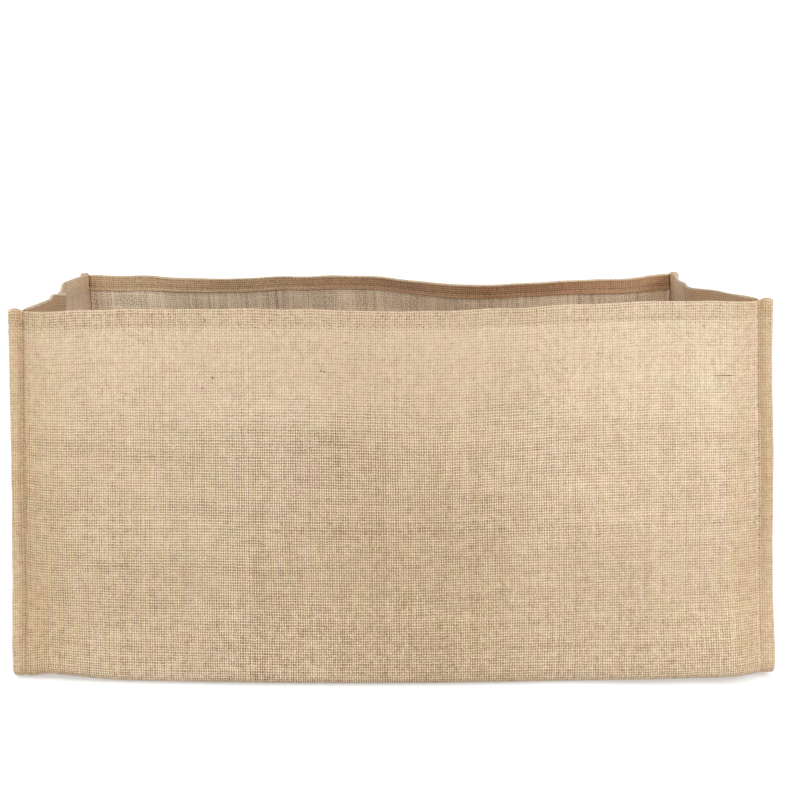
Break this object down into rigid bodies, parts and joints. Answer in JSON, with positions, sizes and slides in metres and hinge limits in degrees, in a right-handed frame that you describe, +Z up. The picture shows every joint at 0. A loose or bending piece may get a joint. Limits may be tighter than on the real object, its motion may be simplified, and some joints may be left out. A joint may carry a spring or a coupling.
{
  "type": "jute planter bag",
  "caption": "Open box-shaped bag of laminated jute cloth that stands on its flat base and holds soil, a pot or plants.",
  "frame": {"origin": "middle of the base, on the plane that it stands on", "axes": "+Z up, +X along the long side, the front faces -Y"},
  "size_m": [0.6372, 0.3365, 0.3064],
  "materials": {
    "jute_cloth": "matt natural jute, plain weave, laminated inside"
  },
  "bodies": {
    "root": {"body_panel": "jute_cloth", "left_side_panel": "jute_cloth", "right_side_panel": "jute_cloth"}
  },
  "joints": []
}
